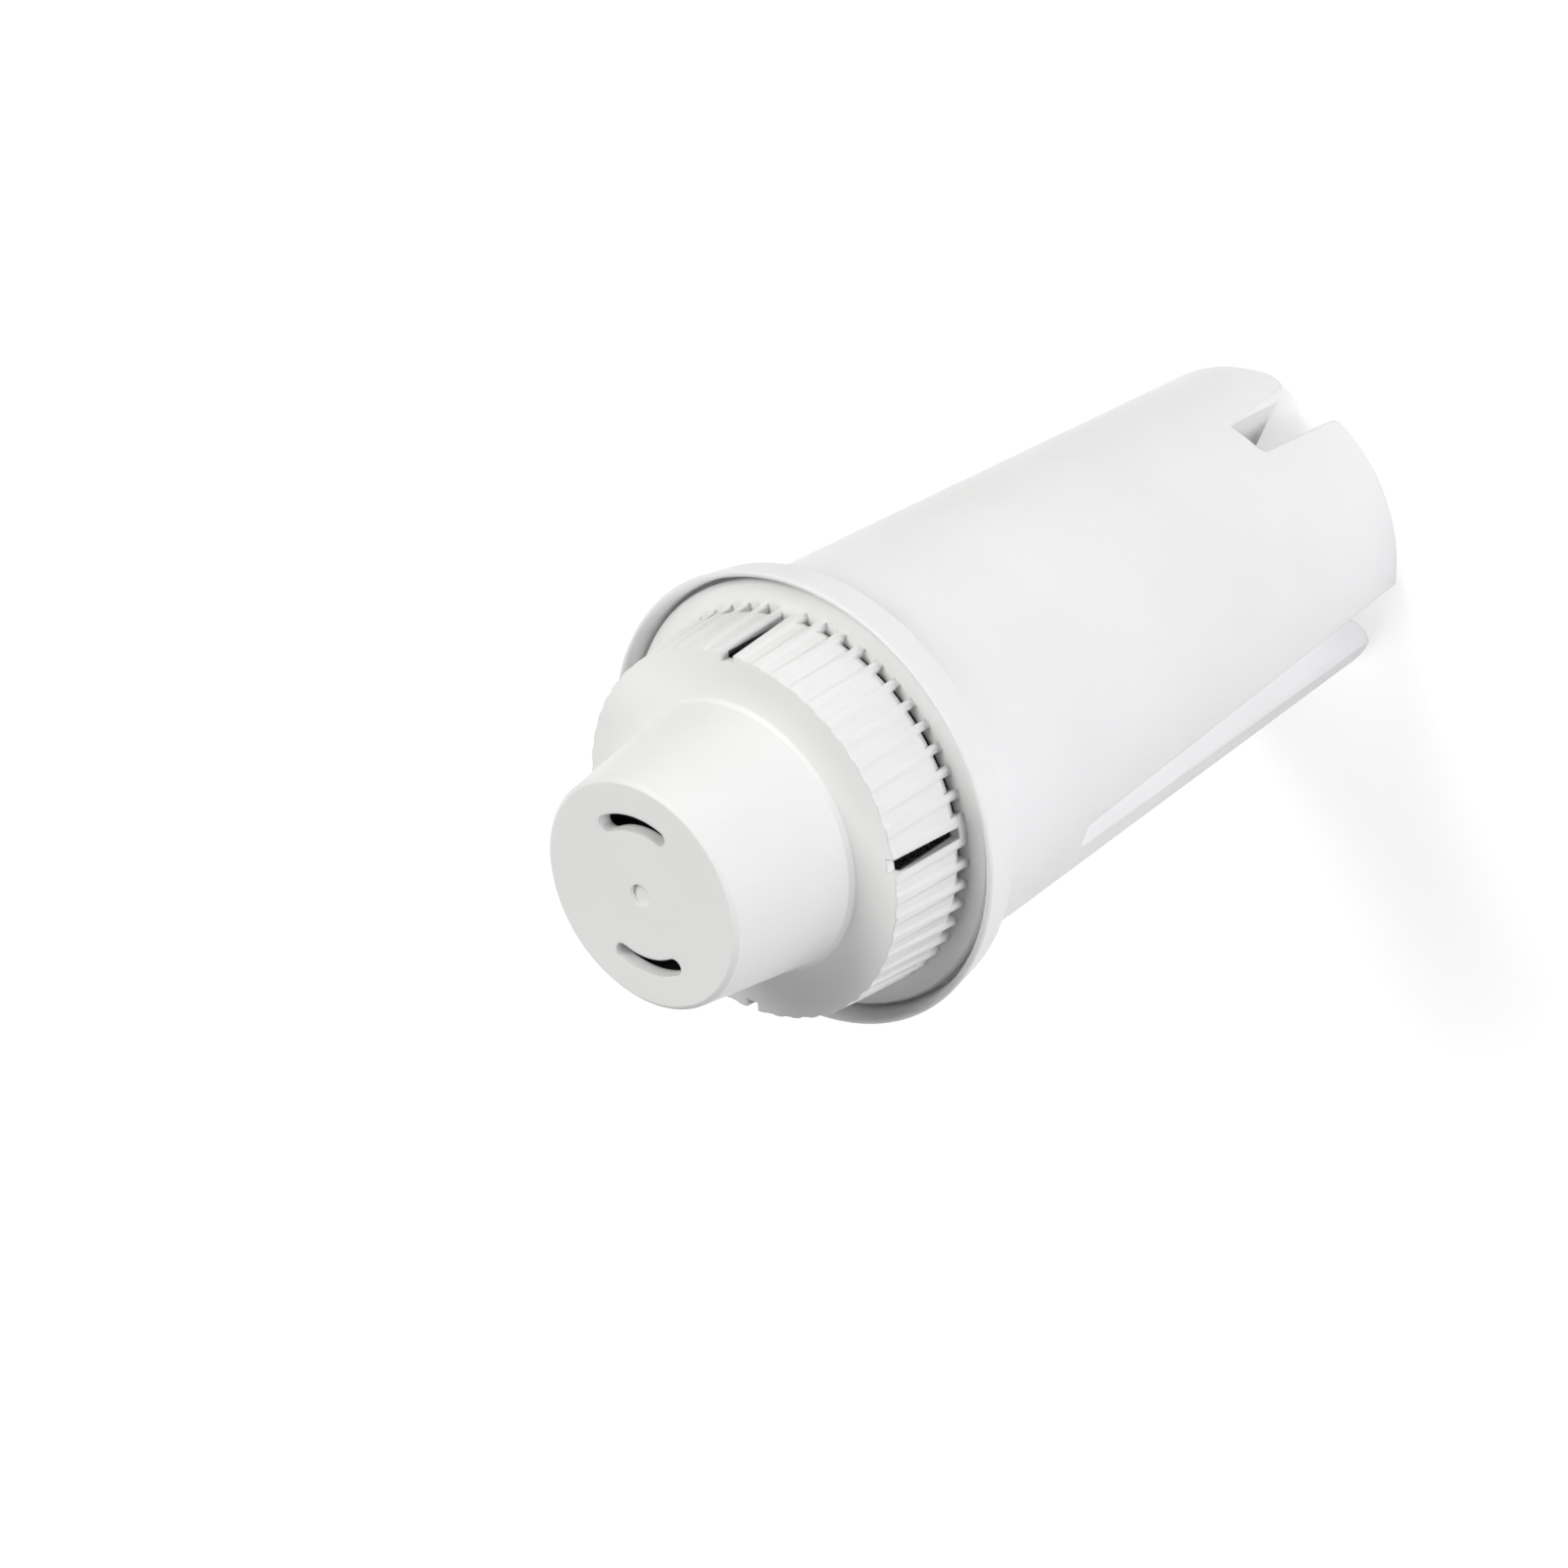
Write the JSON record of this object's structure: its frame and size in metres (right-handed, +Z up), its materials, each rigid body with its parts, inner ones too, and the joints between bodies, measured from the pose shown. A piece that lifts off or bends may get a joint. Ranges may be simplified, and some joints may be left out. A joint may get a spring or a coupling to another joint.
{
  "type": "coffee machine water filter",
  "caption": "Drop-in water filter cartridge: tapered white cup with a stepped flange, long grooves, slotted feet, and a welded inlet lid with a fluted drum and hollow knob.",
  "frame": {"origin": "on the cartridge's axis, in the plane its feet stand on", "axes": "+Z up along the axis towards the knob, X along the wide channel, which has no long groove above it"},
  "size_m": [0.0624, 0.0624, 0.1325],
  "materials": {
    "cup_plastic": "satin",
    "lid_plastic": "satin",
    "fleece": "matt fibres",
    "granules": "loose grains"
  },
  "bodies": {
    "root": {"cartridge_cup": "cup_plastic", "inlet_lid": "lid_plastic", "inlet_screen": "fleece", "media_bed": "granules", "outlet_screen": "fleece"}
  },
  "joints": []
}
